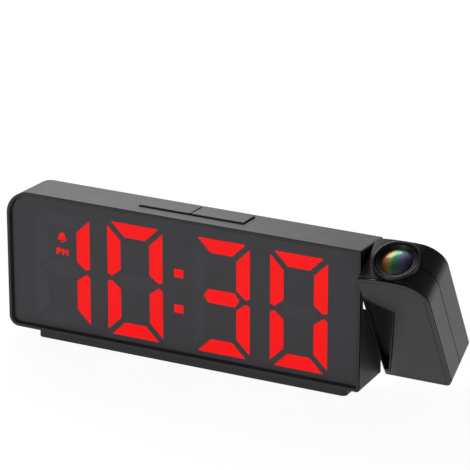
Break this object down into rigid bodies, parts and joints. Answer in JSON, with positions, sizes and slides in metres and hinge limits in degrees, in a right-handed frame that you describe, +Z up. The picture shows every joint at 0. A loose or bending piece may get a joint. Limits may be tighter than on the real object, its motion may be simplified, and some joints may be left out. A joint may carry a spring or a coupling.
{
  "type": "projection alarm clock",
  "caption": "Slim bar-shaped digital alarm clock with a tinted front window, broad top keys and a projector arm that tilts on one end and has a lens with a focus ring.",
  "frame": {"origin": "centre of the case's length and depth, on the rest face of the foot strip", "axes": "+X along the case towards the projector arm, +Y from the display towards the back, +Z up"},
  "size_m": [0.2207, 0.0576, 0.0783],
  "materials": {
    "case_plastic": "fine moulded texture, dark grey",
    "cover_plastic": "fine moulded texture, near black",
    "window_tint": "polished smoke tinted acrylic",
    "segment_glow": "red diffuser, lit from behind",
    "segment_diffuser": "grey diffuser, unlit",
    "reflector_plastic": "black moulded block",
    "board_laminate": "green coated glass laminate",
    "lamp_epoxy": "clear resin",
    "chip_resin": "black moulded resin",
    "switch_metal": "stamped steel and resin",
    "key_plastic": "fine moulded texture, near black",
    "cell_steel": "nickel plated",
    "socket_steel": "drawn shell",
    "foot_rubber": "moulded",
    "screw_steel": "zinc plated",
    "bush_plastic": "natural acetal",
    "shaft_steel": "turned",
    "tray_plastic": "smooth black",
    "lamp_plate": "metal cored board",
    "lens_glass": "polished and coated",
    "panel_glass": "etched panel with film",
    "ring_plastic": "satin black"
  },
  "bodies": {
    "clock": {"case_shell": "case_plastic", "display_window": "window_tint", "segments_lit": "segment_glow", "segments_unlit": "segment_diffuser", "colon_dots": "segment_glow", "alarm_sign": "segment_glow", "afternoon_sign": "segment_glow", "reflector_block": "reflector_plastic", "display_board": "board_laminate", "segment_lamps": "lamp_epoxy", "main_board": "board_laminate", "board_chips": "chip_resin", "set_switches": "switch_metal", "top_switches": "switch_metal", "back_cover": "cover_plastic", "cell_holder": "key_plastic", "backup_cell": "cell_steel", "sounder": "chip_resin", "power_socket": "socket_steel", "foot_bar": "cover_plastic", "foot_strip": "foot_rubber", "case_screws": "screw_steel", "hinge_bush": "bush_plastic"},
    "snooze": {"snooze_key": "case_plastic"},
    "light": {"light_key": "case_plastic"},
    "mode": {"mode_key": "key_plastic"},
    "clock_set": {"clock_key": "key_plastic"},
    "up": {"up_key": "key_plastic"},
    "down": {"down_key": "key_plastic"},
    "alarm": {"alarm_key": "key_plastic"},
    "door": {"cell_door": "cover_plastic"},
    "arm": {"hinge_shaft": "shaft_steel", "shaft_washer": "screw_steel", "shaft_screw": "screw_steel", "arm_face_plate": "case_plastic", "arm_front_shell": "case_plastic", "arm_rear_shell": "case_plastic", "arm_tray": "tray_plastic", "lamp_tube": "tray_plastic", "lamp_board": "lamp_plate", "projector_lamp": "lamp_epoxy", "condenser_lens": "lens_glass", "image_panel": "panel_glass", "arm_screws": "screw_steel"},
    "ring": {"focus_ring": "ring_plastic"},
    "lens": {"lens_cell": "tray_plastic", "projector_lens": "lens_glass"}
  },
  "joints": [
    {"name": "arm_tilt", "type": "hinge", "parent": "clock", "child": "arm", "pos_m": [0.0867, 0.0059, 0.0588], "axis": [1, 0, 0], "range_deg": [-120, 60]},
    {"name": "ring_turn", "type": "hinge", "parent": "arm", "child": "ring", "pos_m": [0.10915, -0.00901, 0.07282], "axis": [0, -0.5, 0.866], "range_deg": [-90, 90]},
    {"name": "lens_focus", "type": "slide", "parent": "arm", "child": "lens", "axis": [0, -0.5, 0.866], "range_m": [-0.001, 0.001]},
    {"name": "snooze_press", "type": "slide", "parent": "clock", "child": "snooze", "axis": [0, 0, -1], "range_m": [0, 0.0008], "stiffness_N_per_m": 400, "springref_m": -0.0005},
    {"name": "light_press", "type": "slide", "parent": "clock", "child": "light", "axis": [0, 0, -1], "range_m": [0, 0.0008], "stiffness_N_per_m": 400, "springref_m": -0.0005},
    {"name": "mode_press", "type": "slide", "parent": "clock", "child": "mode", "axis": [0, -1, 0], "range_m": [0, 0.0008], "stiffness_N_per_m": 400, "springref_m": -0.0005},
    {"name": "clock_press", "type": "slide", "parent": "clock", "child": "clock_set", "axis": [0, -1, 0], "range_m": [0, 0.0008], "stiffness_N_per_m": 400, "springref_m": -0.0005},
    {"name": "up_press", "type": "slide", "parent": "clock", "child": "up", "axis": [0, -1, 0], "range_m": [0, 0.0008], "stiffness_N_per_m": 400, "springref_m": -0.0005},
    {"name": "down_press", "type": "slide", "parent": "clock", "child": "down", "axis": [0, -1, 0], "range_m": [0, 0.0008], "stiffness_N_per_m": 400, "springref_m": -0.0005},
    {"name": "alarm_press", "type": "slide", "parent": "clock", "child": "alarm", "axis": [0, -1, 0], "range_m": [0, 0.0008], "stiffness_N_per_m": 400, "springref_m": -0.0005},
    {"name": "door_lift", "type": "slide", "parent": "clock", "child": "door", "axis": [0, 1, 0], "range_m": [0, 0.012]}
  ],
  "couplings": [
    {"joint": "ring_turn", "follows": "lens_focus", "rad_per_m": 1570}
  ]
}
